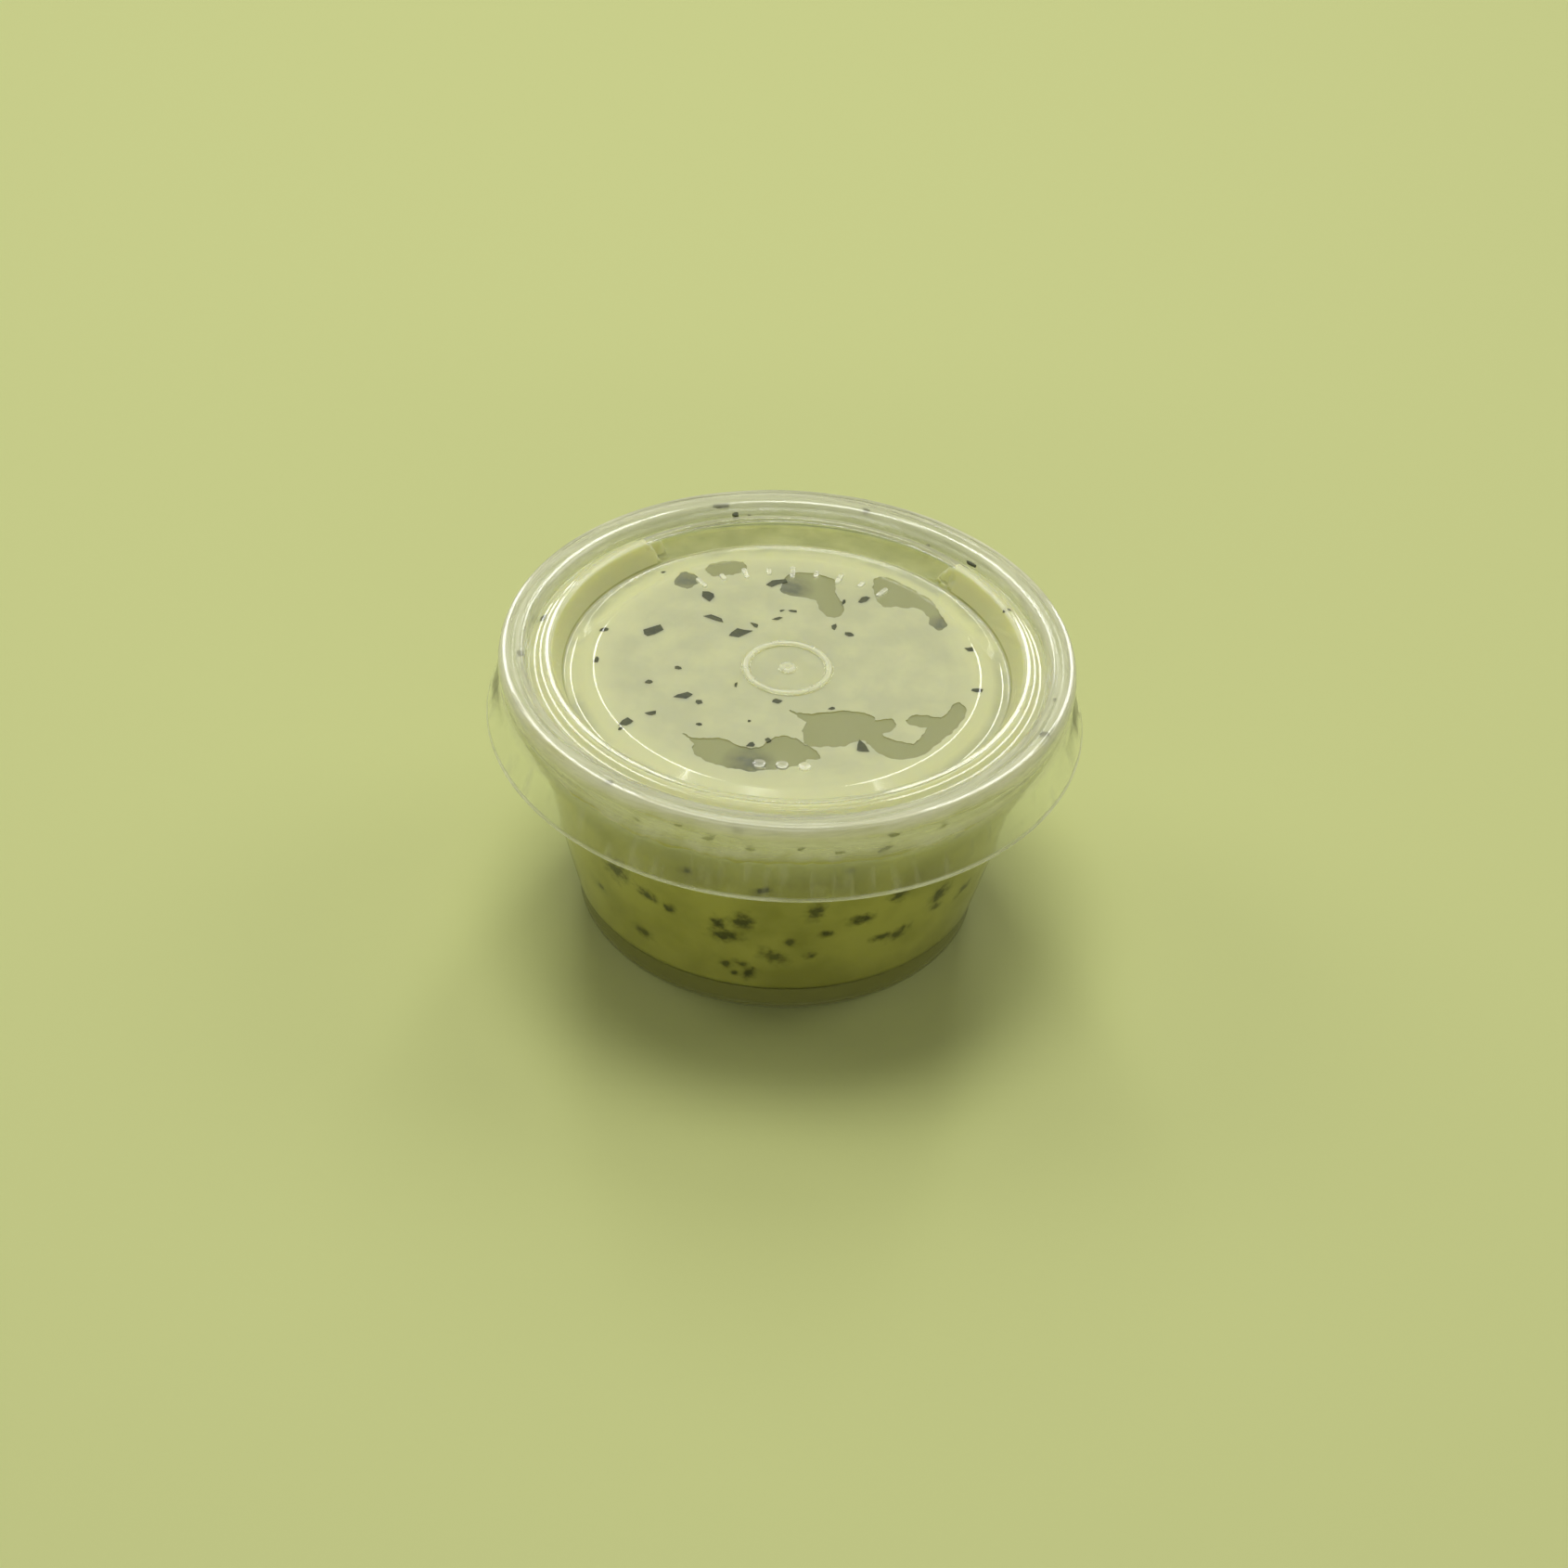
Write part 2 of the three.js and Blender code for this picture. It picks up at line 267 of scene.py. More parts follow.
# How hazy the plastic is: a base share, more of it past some radii or heights, more of it near some rings
# round the axis, uneven in long streaks round it, and upright streaks low down.
def hazeShare(tree, look):
    place = objectPlace(tree)
    measures = {"radius": axisDistance(tree, place), "height": heightOf(tree, place)}
    total = look["haze"]
    for kind, start, end, amount in look["hazeZones"]:
        part = remap(tree, measures[kind], start * mm, end * mm, 0, amount)
        total = calculate(tree, "ADD", total, part)
    for radius, height, reach, amount in look.get("hazeRings", []):
        spot = addNode(tree, "CombineXYZ", {0: measures["radius"], 1: measures["height"]}).outputs[0]
        ring = (radius * mm, height * mm, 0)
        away = addNode(tree, "VectorMath", {0: spot, 1: ring}, operation="DISTANCE").outputs["Value"]
        part = remap(tree, away, reach * mm, reach * look["ringCore"] * mm, 0, amount)
        total = calculate(tree, "ADD", total, part)
    if "brushed" in look:
        ringed = addNode(tree, "CombineXYZ", {0: measures["radius"]}).outputs[0]
        slow = stretched(tree, place, look["brushStretch"])
        spot = addNode(tree, "VectorMath", {0: ringed, 1: slow}, operation="ADD").outputs[0]
        lines = placeNoise(tree, spot, look["brushScale"], detail=4)
        total = calculate(tree, "MULTIPLY", total, remap(tree, lines, 0.35, 0.65, *look["brushed"]))
    if "streaks" in look:
        start, end, amount = look["streaks"]
        lines = placeNoise(tree, stretched(tree, place, look["streakStretch"]), look["streakScale"])
        strong = calculate(tree, "MULTIPLY", remap(tree, lines, 0.54, 0.72, 0, amount),
                           remap(tree, measures["height"], start * mm, end * mm, 0, 1))
        total = calculate(tree, "ADD", total, strong)
    return total


# Clear plastic, with a little haze. Rays from lamps and from matt surfaces go straight through it.
def clearPlastic(name, look):
    tree = newFinish(name)
    grain = objectNoise(tree, look["grainScale"])
    bump = addNode(tree, "Bump", {
        "Height": objectNoise(tree, look["waveScale"], detail=1), "Strength": look["waveStrength"],
        "Distance": look["waveDepth"] * mm})
    surface = {"Roughness": remap(tree, grain, 0.35, 0.65, *look["roughness"]), "IOR": look["ior"],
               "Normal": bump.outputs["Normal"]}
    glass = addNode(tree, "BsdfPrincipled", {
        **surface, "Base Color": look["colour"], "Transmission Weight": 1.0}).outputs[0]
    cloud = addNode(tree, "BsdfPrincipled", {**surface, "Base Color": look["milk"]}).outputs[0]
    milk = addNode(tree, "BsdfTranslucent", {"Color": look["milk"]}).outputs[0]
    haze = mixShaders(tree, look["milkFront"], milk, cloud)
    body = mixShaders(tree, hazeShare(tree, look), glass, haze)
    clear = addNode(tree, "BsdfTransparent", {"Color": look["through"]}).outputs[0]
    path = addNode(tree, "LightPath")
    lamps = mixShaders(tree, path.outputs["Is Shadow Ray"], body, clear)
    setOutput(tree, mixShaders(tree, path.outputs["Is Diffuse Ray"], lamps, clear))
    return bpy.data.materials[name]


lidLook = {
    "colour": (0.97, 0.98, 0.95, 1),
    "through": (0.91, 0.92, 0.89, 1),
    "milk": (0.95, 0.94, 0.68, 1),
    "ior": 1.5,
    "haze": 0.01,
    "milkFront": 0.8,
    "hazeZones": [("radius", 24, 26, 0.02), ("height", 24.7, 24.45, 0.75)],  # kind, from, to, amount
    "hazeRings": [(31.5, 32.3, 1.1, 0.5), (30, 33, 2.6, 0.28), (31.5, 29.9, 2.2, 0.28),
                  (27, 32.3, 1.2, 0.22), (28.6, 32, 1.1, 0.2)],  # radius, height, reach, amount
    "ringCore": 0.4,  # the share of a ring's reach that has all of its haze
    "streaks": (28.8, 27.6, 0.14),  # from a height, to a height, amount
    "streakStretch": (1, 1, 0.05),
    "streakScale": 650,
    "brushed": (0.55, 1.45),  # the least and the most that the long streaks leave of the haze
    "brushStretch": (0.07, 0.07, 0.35),
    "brushScale": 1500,
    "roughness": (0.03, 0.08),
    "grainScale": 400,
    "waveScale": 220,
    "waveStrength": 0.15,
    "waveDepth": 0.06,
}
lidPlastic = clearPlastic("clearLid", lidLook)
markPlastic = clearPlastic("frostedMarks", {
    **lidLook,
    "haze": 0.38,
    "milkFront": 0.9,
    "roughness": (0.2, 0.3),
})
cupLook = {
    "colour": (0.96, 0.97, 0.93, 1),
    "through": (0.91, 0.92, 0.87, 1),
    "milk": (0.85, 0.85, 0.56, 1),
    "ior": 1.49,
    "haze": 0.03,
    "milkFront": 0.5,
    "hazeZones": [("height", 29.8, 31, 0.42)],
    "roughness": (0.12, 0.2),
    "grainScale": 400,
    "waveScale": 160,
    "waveStrength": 0.3,
    "waveDepth": 0.08,
}
cupPlastic = clearPlastic("clearCup", cupLook)
# The foot: frosted plastic whose haze is painted dark olive, painted shade for the shadow under the cup seen
# through it.
shadedFootPlastic = clearPlastic("frostedFoot", {
    **cupLook,
    "haze": 0.5,
    "hazeZones": [("height", 0.5, 0.2, -0.5)],
    "milk": (0.42, 0.41, 0.1, 1),
    "milkFront": 0.6,
})

sauceLook = {
    "pale": (0.79, 0.79, 0.43, 1),
    "grey": (0.64, 0.645, 0.37, 1),
    # Painted shade: the side is darker and more olive than the top, as if lit only by light bounced from the
    # table.
    "side": (0.52, 0.505, 0.11, 1),
    "shadedSideDark": (0.36, 0.35, 0.06, 1),
    "stain": (0.18, 0.175, 0.025, 1),
    "sideHerb": (0.065, 0.067, 0.004, 1),
    # Painted shade: the sauce under the air pockets is darker than where it touches the lid.
    "pocket": (0.43, 0.43, 0.15, 1),
    "pocketShadow": (0.13, 0.14, 0.06, 1),
    "low": (0.6, 0.6, 0.22, 1),
    "lowDark": (0.46, 0.47, 0.15, 1),
    # Painted light: the film is paler than the sauce, as if glowing with light from above, and darker towards
    # its lower edge.
    "film": (0.95, 0.93, 0.55, 1),
    "filmDark": (0.8, 0.79, 0.3, 1),
    "filmLowShade": (0.66, 0.65, 0.13, 1),
    "olive": (0.13, 0.14, 0.015, 1),
    "olivePale": (0.36, 0.37, 0.05, 1),
    "herb": (0.035, 0.043, 0.006, 1),
    "herbPale": (0.09, 0.095, 0.02, 1),
    "depth": 2.2,  # how far light travels in the sauce
    "spread": (1.0, 0.9, 0.45),
    "roughness": 0.38,
    "ior": 1.38,
    "mottleScale": 260,
    "greyRadii": (18, 22),  # the grey mottle of the flat middle fades out between these
    "patchScale": 190,
    "patchRadius": 23.8,  # grey patches lie round the well at this radius
    "patchReach": (0.3, 1.2),
    "cloudScale": 130,
    "crumbScale": 1300,
    "shadedSideHeights": (22, 29),  # the side's painted shade fades out between these heights
    "filmScale": 420,
    "filmShadeHeights": (29, 28.1),  # the film's painted glow fades to painted shade between these heights
    "filmWander": 0.9,
    "filmWanderScale": 330,
    "filmThrough": 0.2,  # how much of the light goes through the film
    "pocketHeight": 29.4,
    "pocketScale": 900,
    "lowScale": 300,
    "veinScale": 2500,
}


# The sauce's colour, with painted shade down its side. Its leaf attribute is 1 in the middle of a fleck
# on its side, 0 at the fleck's rim and less outside.
def sauceColour(tree):
    look = sauceLook
    place = objectPlace(tree)
    radius = axisDistance(tree, place)
    mottle = remap(tree, objectNoise(tree, look["mottleScale"], detail=4), 0.3, 0.7, 0.4, 1.2)
    near, far = [edge * mm for edge in look["greyRadii"]]
    share = calculate(tree, "MULTIPLY", mottle, remap(tree, radius, near, far, 1, 0))
    away = calculate(tree, "ABSOLUTE", calculate(tree, "SUBTRACT", radius, look["patchRadius"] * mm))
    patches = remap(tree, objectNoise(tree, look["patchScale"], detail=4), 0.42, 0.6, 0, 1.1)
    near, far = [edge * mm for edge in look["patchReach"]]
    ring = calculate(tree, "MULTIPLY", remap(tree, away, near, far, 1, 0), patches)
    top = mixColours(tree, calculate(tree, "ADD", share, ring), look["pale"], look["grey"])
    clouds = remap(tree, objectNoise(tree, look["cloudScale"], detail=4), 0.4, 0.65, 0, 1)
    # The side colours are painted shade, mottled.
    side = mixColours(tree, clouds, look["side"], look["shadedSideDark"])
    leaf = addNode(tree, "Attribute", attribute_name="leaf").outputs["Fac"]
    strength = addNode(tree, "Attribute", attribute_name="leafTone").outputs["Fac"]
    crumb = remap(tree, objectNoise(tree, look["crumbScale"]), 0.3, 0.7, -0.4, 0.4)
    ragged = calculate(tree, "ADD", leaf, crumb)
    halo = calculate(tree, "MULTIPLY", remap(tree, ragged, -0.55, 0.2, 0, 0.6), strength)
    core = calculate(tree, "MULTIPLY", remap(tree, ragged, 0.1, 0.6, 0, 1), strength)
    side = mixColours(tree, halo, side, look["stain"])
    side = mixColours(tree, core, side, look["sideHerb"])
    # Painted shade: up to the first height the sauce takes the shaded side's colour, above the second the lit
    # top's.
    low, high = [level * mm for level in look["shadedSideHeights"]]
    return mixColours(tree, remap(tree, heightOf(tree, place), low, high, 1, 0), top, side)


def sauceShader(tree, colour):
    return addNode(tree, "BsdfPrincipled", {
        "Base Color": colour, "Roughness": sauceLook["roughness"], "IOR": sauceLook["ior"],
        "Subsurface Weight": 1.0, "Subsurface Radius": sauceLook["spread"],
        "Subsurface Scale": sauceLook["depth"] * mm}).outputs[0]


def makeSauceFinish():
    tree = newFinish("herbSauce")
    setOutput(tree, sauceShader(tree, sauceColour(tree)))
    return bpy.data.materials["herbSauce"]


# The film is so thin that light from behind comes through. Its colour is painted light: paler than the sauce,
# as if glowing with light from above, with painted shade along its lower edge.
def makeFilmFinish():
    tree = newFinish("thinSauce")
    look = sauceLook
    spots = remap(tree, objectNoise(tree, look["filmScale"], detail=4), 0.45, 0.7, 0, 1)
    colour = mixColours(tree, spots, look["film"], look["filmDark"])
    wander = look["filmWander"] * mm
    patches = remap(tree, objectNoise(tree, look["filmWanderScale"], detail=4), 0.3, 0.7, -wander, wander)
    level = calculate(tree, "ADD", heightOf(tree, objectPlace(tree)), patches)
    start, end = [height * mm for height in look["filmShadeHeights"]]
    # Painted shade along the film's lower edge.
    colour = mixColours(tree, remap(tree, level, start, end, 0, 1), colour, look["filmLowShade"])
    front = addNode(tree, "BsdfDiffuse", {"Color": colour}).outputs[0]
    through = addNode(tree, "BsdfTranslucent", {"Color": colour}).outputs[0]
    setOutput(tree, mixShaders(tree, look["filmThrough"], front, through))
    return bpy.data.materials["thinSauce"]


# Under an air pocket the sauce gets painted shade: a darker colour, and painted shadow that is darkest round
# a few spots.
def makeShadedPocketFinish(shadowSpots):
    tree = newFinish("pocketSauce")
    place = objectPlace(tree)
    shade = 0
    for x, y, reach in shadowSpots:
        spot = (x * mm, y * mm, sauceLook["pocketHeight"] * mm)
        away = addNode(tree, "VectorMath", {0: place, 1: spot}, operation="DISTANCE").outputs["Value"]
        shade = calculate(tree, "MAXIMUM", shade, remap(tree, away, reach * 0.25 * mm, reach * mm, 1, 0))
    wobble = remap(tree, objectNoise(tree, sauceLook["pocketScale"], detail=4), 0.3, 0.7, 0.5, 1.1)
    uneven = calculate(tree, "MULTIPLY", shade, wobble)
    setOutput(tree, sauceShader(tree, mixColours(tree, uneven, sauceLook["pocket"], sauceLook["pocketShadow"])))
    return bpy.data.materials["pocketSauce"]


# Where the sauce doesn't reach the lid it lies in the lid's shade.
def makeLowFinish():
    tree = newFinish("lowSauce")
    uneven = remap(tree, objectNoise(tree, sauceLook["lowScale"]), 0.35, 0.65, 0, 1)
    setOutput(tree, sauceShader(tree, mixColours(tree, uneven, sauceLook["low"], sauceLook["lowDark"])))
    return bpy.data.materials["lowSauce"]


# Chopped herb leaf: each fleck has its own tone.
def makeHerbFinish(name, dark=sauceLook["herb"], pale=sauceLook["herbPale"]):
    tree = newFinish(name)
    tone = addNode(tree, "Attribute", attribute_name="tone").outputs["Fac"]
    veins = remap(tree, objectNoise(tree, sauceLook["veinScale"]), 0.35, 0.65, -0.25, 0.35)
    colour = mixColours(tree, calculate(tree, "ADD", tone, veins), dark, pale)
    setOutput(tree, addNode(tree, "BsdfPrincipled", {"Base Color": colour, "Roughness": 0.55}).outputs[0])
    return bpy.data.materials[name]


# Cup: foot ring, small step, tapering wall and rim

cup = {
    "wall": 0.5,
    "footRadius": 22.75,
    "footWidth": 1.3,
    "footHeight": 3.1,
    "floorTop": 3.3,
    "stepOut": 0.5,
    "mouthRadius": 29.7,
    "mouthHeight": 29.6,
    "rimRadius": cupHigh.x / mm,
    "rimTop": cupHigh.z / mm,
    "rimHeight": 1.25,
    "frostRadius": 20.5,  # the foot is frosted outside this, its haze painted dark olive as painted shade
}


def cupInnerRadius(z):
    foot = cup["footRadius"] + cup["stepOut"]
    share = (z - cup["floorTop"]) / (cup["mouthHeight"] - cup["floorTop"])
    return foot + (cup["mouthRadius"] - foot) * share - cup["wall"]


def makeCup():
    foot = cup["footRadius"]
    footInner = foot - cup["footWidth"]
    rimUnder = cup["rimTop"] - cup["rimHeight"]
    rimInner = cup["mouthRadius"] - 0.15
    floorUnder = cup["floorTop"] - cup["wall"]
    profile = roundedLine([
        (0, floorUnder),
        (12, floorUnder),
        (footInner - 0.3, floorUnder, 0.6),
        (footInner, 0, 0.2),
        (foot - 0.1, 0, 0.3),
        (foot, cup["footHeight"] - 0.1, 0.15),
        (foot + cup["stepOut"], cup["footHeight"] + 0.3, 0.2),
        (cup["mouthRadius"], cup["mouthHeight"], 0.4),
        (cup["mouthRadius"] + 0.15, rimUnder, 0.2),
        (cup["rimRadius"], rimUnder, 0.3),
        (cup["rimRadius"], cup["rimTop"], 0.45),
        (rimInner, cup["rimTop"], 0.35),
        (rimInner, rimUnder, 0.3),
        (cupInnerRadius(cup["mouthHeight"]), cup["mouthHeight"], 0.4),
        (cupInnerRadius(cup["floorTop"]), cup["floorTop"], 0.9),
        (12, cup["floorTop"]),
        (0, cup["floorTop"]),
    ])
    shell = toObject("cupShell", spinProfile(profile))
    finishPiece(shell, [cupPlastic, shadedFootPlastic], "cup")
    for face in shell.data.polygons:
        middle = face.center / mm
        isFoot = middle.z < cup["floorTop"] and math.hypot(middle.x, middle.y) > cup["frostRadius"]
        face.material_index = int(isFoot)


makeCup()


# Lid: flat middle in a well, three fine ridges, domed land over the rim, flared and ribbed skirt

lid = {
    "wall": 0.4,
    "plateauRadius": 21.3,
    "plateauDrop": 2.9,
    "grooveRadius": 24.3,
    "grooveDrop": 3.5,
    "crestRadius": 26.1,
    "crestDrop": 0.6,
    "ridgeRadii": (26.65, 27.28, 27.91),  # outer edges of the three narrow steps
    "ridgeTop": 32.47,
    "ridgeFall": 0.49,
    "ridgeWidth": 0.3,
    "ridgeLean": 0.036,
    "plugRadius": 28.4,
    "plugDrop": 1.85,
    "landRadius": 30.2,
    "shoulderRadius": 31.75,
    "beadRadius": 31.3,
    "beadDrop": 3.5,
    "skirtTopRadius": 31.6,
    "skirtTopDrop": 4.7,
    "skirtRadius": lidHigh.x / mm,
    "skirtDrop": 8.7,
    "ribs": 48,
    "ribRelief": 0.1,
    "relief": 0.25,
    "wobble": 0.035,  # how far the ridges and the land wander
    "wobbleScale": 0.22,
}
plateauTop = overallHeight - lid["plateauDrop"]
plateauUnder = plateauTop - lid["wall"]

# Plain raised marks on the flat middle. Turns are in degrees.
marks = {
    "ringRadius": 4.6,
    "ringWidth": 0.8,
    "middleDot": 1.0,
    "dashes": 9,
    "dashRadius": 18.4,
    "dashTurn": 8.5,
    "dashWidth": 0.6,
    "dashLengths": (2.0, 1.2),
    "rowDots": (-2.4, 0, 2.4),
    "rowDotPlace": -17.6,
    "rowDot": 0.7,
    "frostFrom": 0.04,  # above the flat middle
    "frostRadius": 20,
}


# The ring and the middle dot, raised on both faces of the sheet: points from the axis outwards.
def raisedRings(height):
    ring = marks["ringRadius"]
    half = marks["ringWidth"] / 2
    high = height + lid["relief"]
    dot = marks["middleDot"]
    return [
        (0, high),
        (dot * 0.75, high, 0.12),
        (dot, height, 0.12),
        (ring - half, height, 0.12),
        (ring - half * 0.55, high, 0.12),
        (ring + half * 0.55, high, 0.12),
        (ring + half, height, 0.12),
        (ring + 3, height),
        (16, height),
    ]


# Corners of the lid's underside, from the axis out to the tip of the skirt.
def underCorners():
    wall = lid["wall"]
    under = overallHeight - wall
    top = overallHeight
    shoulder = lid["shoulderRadius"] - wall
    return [
        *raisedRings(plateauUnder),
        (lid["plateauRadius"] - 0.1, plateauUnder, 0.35),
        (lid["grooveRadius"], under - lid["grooveDrop"], 0.5),
        (lid["grooveRadius"] + 0.65, under - lid["grooveDrop"] + 0.25, 0.25),
        (lid["crestRadius"] + 0.2, under - lid["crestDrop"], 0.3),
        (lid["plugRadius"] + 0.2, under - lid["plugDrop"], 0.2),
        (lid["plugRadius"] + 0.8, under - 0.2, 0.35),
        (lid["landRadius"], under, 0.3),
        (shoulder - 0.4, under - 0.15, 0.35),
        (shoulder, under - 0.9, 0.35),
        (shoulder, top - 2.1, 0.3),
        (lid["beadRadius"] - wall - 0.05, top - lid["beadDrop"], 0.4),
        (lid["skirtTopRadius"] - wall, top - lid["skirtTopDrop"], 0.6),
        (lid["skirtRadius"] - wall - 0.1, top - lid["skirtDrop"] + 0.1, 0.08),
    ]


# Corners of its outside, from the tip of the skirt back to the axis.
def outsideCorners():
    top = overallHeight
    tip = top - lid["skirtDrop"]
    ridges = []
    for i in (2, 1, 0):
        edge = Vector((lid["ridgeRadii"][i], lid["ridgeTop"] - i * lid["ridgeFall"]))
        inward = Vector((-lid["ridgeWidth"], lid["ridgeLean"]))
        ridges += [(*edge, 0.05), tuple(edge + inward * 0.25), tuple(edge + inward * 0.75)]
        if i:
            ridges.append((*(edge + inward), 0.05))
        else:
            ridges.append((lid["crestRadius"] - 0.1, lid["ridgeTop"] + 0.09, 0.25))
    return [
        (lid["skirtRadius"] - 0.15, tip, 0.06),
        (lid["skirtRadius"], tip + 0.25, 0.1),
        (lid["skirtRadius"] - 0.1, tip + 0.6, 0.2),
        (lid["skirtTopRadius"], top - lid["skirtTopDrop"], 0.6),
        (lid["beadRadius"], top - lid["beadDrop"], 0.4),
        (lid["shoulderRadius"], top - 2.1, 0.3),
        (lid["shoulderRadius"], top - 1, 0.3),
        (lid["shoulderRadius"] - 0.25, top - 0.3, 0.25),
        (lid["shoulderRadius"] - 0.45, top - 0.045, 0.08),
        (lid["shoulderRadius"] - 0.54, top - 0.034),
        (lid["shoulderRadius"] - 0.73, top - 0.011),
        (lid["shoulderRadius"] - 0.82, top, 0.06),
        (lid["landRadius"], top, 0.4),
        (lid["plugRadius"] + 0.45, top - 0.25, 0.4),
        (lid["plugRadius"], top - lid["plugDrop"], 0.15),
        *ridges,
        (lid["grooveRadius"] + 0.3, top - lid["grooveDrop"] + 0.05, 0.2),
        (lid["grooveRadius"] - 0.4, top - lid["grooveDrop"], 0.3),
        (lid["plateauRadius"], plateauTop, 0.25),
        *reversed(raisedRings(plateauTop)),
    ]


# The underside from the axis to the crown of the land, which the sauce and the flecks below the lid follow,
# and from the crown down to the skirt.
def underLines():
    *corners, tip = underCorners()
    line = roundedLine([*corners, tip[:2]])
    crown = line.index(max(line, key=lambda point: point.y))
    return line[:crown + 1], line[crown:]


underLine, fallLine = underLines()


# Fine upright ribs of uneven strength on the skirt, and ridges and a land that wander a little.
def shapeLid(mesh):
    draw = random.Random(11)
    strengths = [draw.uniform(0.15, 1) ** 1.5 for _ in range(lid["ribs"])]
    low = overallHeight - lid["skirtDrop"] + 0.3
    high = overallHeight - lid["skirtTopDrop"]
    for vert in mesh.verts:
        radius = math.hypot(vert.co.x, vert.co.y)
        if radius < lid["grooveRadius"]:
            continue
        around = math.atan2(vert.co.y, vert.co.x) / (2 * math.pi) * lid["ribs"]
        if vert.co.z < high:
            rise = smoothStep(low, low + 0.8, vert.co.z) * smoothStep(high, high - 1.2, vert.co.z)
            groove = (0.5 + 0.5 * math.cos(2 * math.pi * around)) ** 2
            relief = lid["ribRelief"] * strengths[int(round(around)) % lid["ribs"]]
            scale = 1 - relief * groove * rise / radius
            vert.co.x *= scale
            vert.co.y *= scale
        elif vert.co.z > overallHeight - 2:
            vert.co.z += (noise.noise(vert.co * lid["wobbleScale"]) - 1) * lid["wobble"]


def makeMark(mesh, x, y, turn, length, width):
    sunk = lid["wall"] / 2
    height = lid["relief"] + sunk
    place = (Matrix.Rotation(math.radians(-turn), 4, "Z")
             @ Matrix.Translation((x, y, plateauTop - sunk + height / 2))
             @ Matrix.Diagonal((width, length, height, 1)))
    made = bmesh.ops.create_cube(mesh, size=1, matrix=place)
    upright = [edge for vert in made["verts"] for edge in vert.link_edges
               if abs(edge.verts[0].co.z - edge.verts[1].co.z) > height / 2]
    bmesh.ops.bevel(mesh, geom=list(dict.fromkeys(upright)), offset=width * 0.49, segments=5, profile=0.5,
                    affect="EDGES", material=-1)


def makeLid():
    mesh = spinProfile(roundedLine([*underCorners(), *outsideCorners()]))
    shapeLid(mesh)
    shell = toObject("lidShell", mesh)
    raised = bmesh.new()
    for i in range(marks["dashes"]):
        turn = (i - (marks["dashes"] - 1) / 2) * marks["dashTurn"]
        makeMark(raised, 0, marks["dashRadius"], turn, marks["dashLengths"][i % 2], marks["dashWidth"])
    for x in marks["rowDots"]:
        makeMark(raised, x, marks["rowDotPlace"], 0, 2 * marks["rowDot"], 2 * marks["rowDot"])
    tops = [edge for edge in raised.edges
            if min(vert.co.z for vert in edge.verts) > plateauTop + lid["relief"] - 0.01]
    bmesh.ops.bevel(raised, geom=tops, offset=0.1, segments=2, profile=0.5, affect="EDGES", material=-1)
    combine(shell, toObject("raisedMarks", raised), "UNION")
    finishPiece(shell, [lidPlastic, markPlastic], "lid")
    for face in shell.data.polygons:
        middle = face.center / mm
        isRaised = middle.z > plateauTop + marks["frostFrom"]
        face.material_index = int(isRaised and math.hypot(middle.x, middle.y) < marks["frostRadius"])


makeLid()


# Sauce: fills the cup and touches the lid, with air pockets under the flat middle

sauce = {
    "overlap": 0.05,  # it reaches this far into the plastic, so that no gap shows
    "lowLevel": 29.42,  # in the ring round the well, where it doesn't touch the lid
    "wallLevel": 30.2,  # on the cup's wall, where the ring is full
    "pocketDepth": 0.06,
    "emptyMiddle": 3,  # degrees from the back, clockwise: the middle of the empty stretch of the ring
    "emptyHalf": 40,
    "emptyEdge": 3,
    "ragged": 0.3,  # how far the outlines of the pockets wander
    "loopSteps": 8,
    "rowStart": 4.4,  # rows of points up the side, fine enough for its flecks
    "rowStep": 0.4,
    "rows": 62,
    "ringStep": 0.15,  # between points across the ring
}

# Outlines of the air pockets between the sauce and the lid, as (x, y).
pockets = [
    [(0.5, -7.6), (1.6, -7.7), (3, -8), (5, -7.4), (7.5, -7), (9.3, -7.6), (10, -8.5), (11.5, -8),
     (12.1, -9.5), (11.5, -10.3), (10.6, -11), (13.3, -12.3), (14.5, -11.5), (15, -10.3), (15.2, -9.2),
     (13.5, -9), (13.2, -8.2), (14, -7.2), (15.5, -7.1), (16.5, -7.4), (17.5, -6.8), (18.3, -5), (19, -4.4),
     (19.6, -5.5), (19.3, -7.5), (18, -10), (16.5, -12), (15, -14), (12.5, -15.3), (11, -14.7), (9.5, -13.5),
     (8.9, -12.2), (8, -12.2), (6, -13.5), (4, -13.6), (2.4, -13.5), (2, -11.5), (2.3, -9.6), (1.3, -8.5)],
    [(-10.6, -12.7), (-9.3, -13.3), (-7, -13.1), (-5, -14), (-4, -14.6), (-2.5, -14.2), (-1.8, -13.5),
     (-1, -12.5), (0.5, -12.2), (2, -13), (3.5, -14.5), (4, -15.8), (2.5, -16), (2, -17), (-2.5, -18.5),
     (-5, -18.3), (-8, -17.3), (-9.5, -16), (-9.5, -14.5), (-10.8, -13)],
    [(-1.3, 15), (-0.8, 17.5), (0.5, 18.8), (4.5, 18), (5, 15), (5.8, 13), (6, 11), (5, 10.2), (3.8, 10.8),
     (3, 13), (2.3, 13.6), (-0.5, 14.2)],
    [(9.5, 18.5), (11, 18.8), (13.5, 17), (14.5, 16), (16, 14.5), (17, 12), (17.6, 10), (16.9, 8.8),
     (15.8, 9.8), (15.5, 11.5), (14.7, 12.7), (12.5, 13), (10.5, 12.9), (9.7, 14.5), (9.3, 16)],
    [(-12.4, 17.6), (-11, 17), (-10.9, 15.4), (-12, 14.3), (-13.2, 15), (-13.3, 16.6)],
    [(-10, 18.5), (-8.8, 20), (-6, 20.3), (-5.3, 18.8), (-7, 17.5), (-9.2, 17.2)],
]
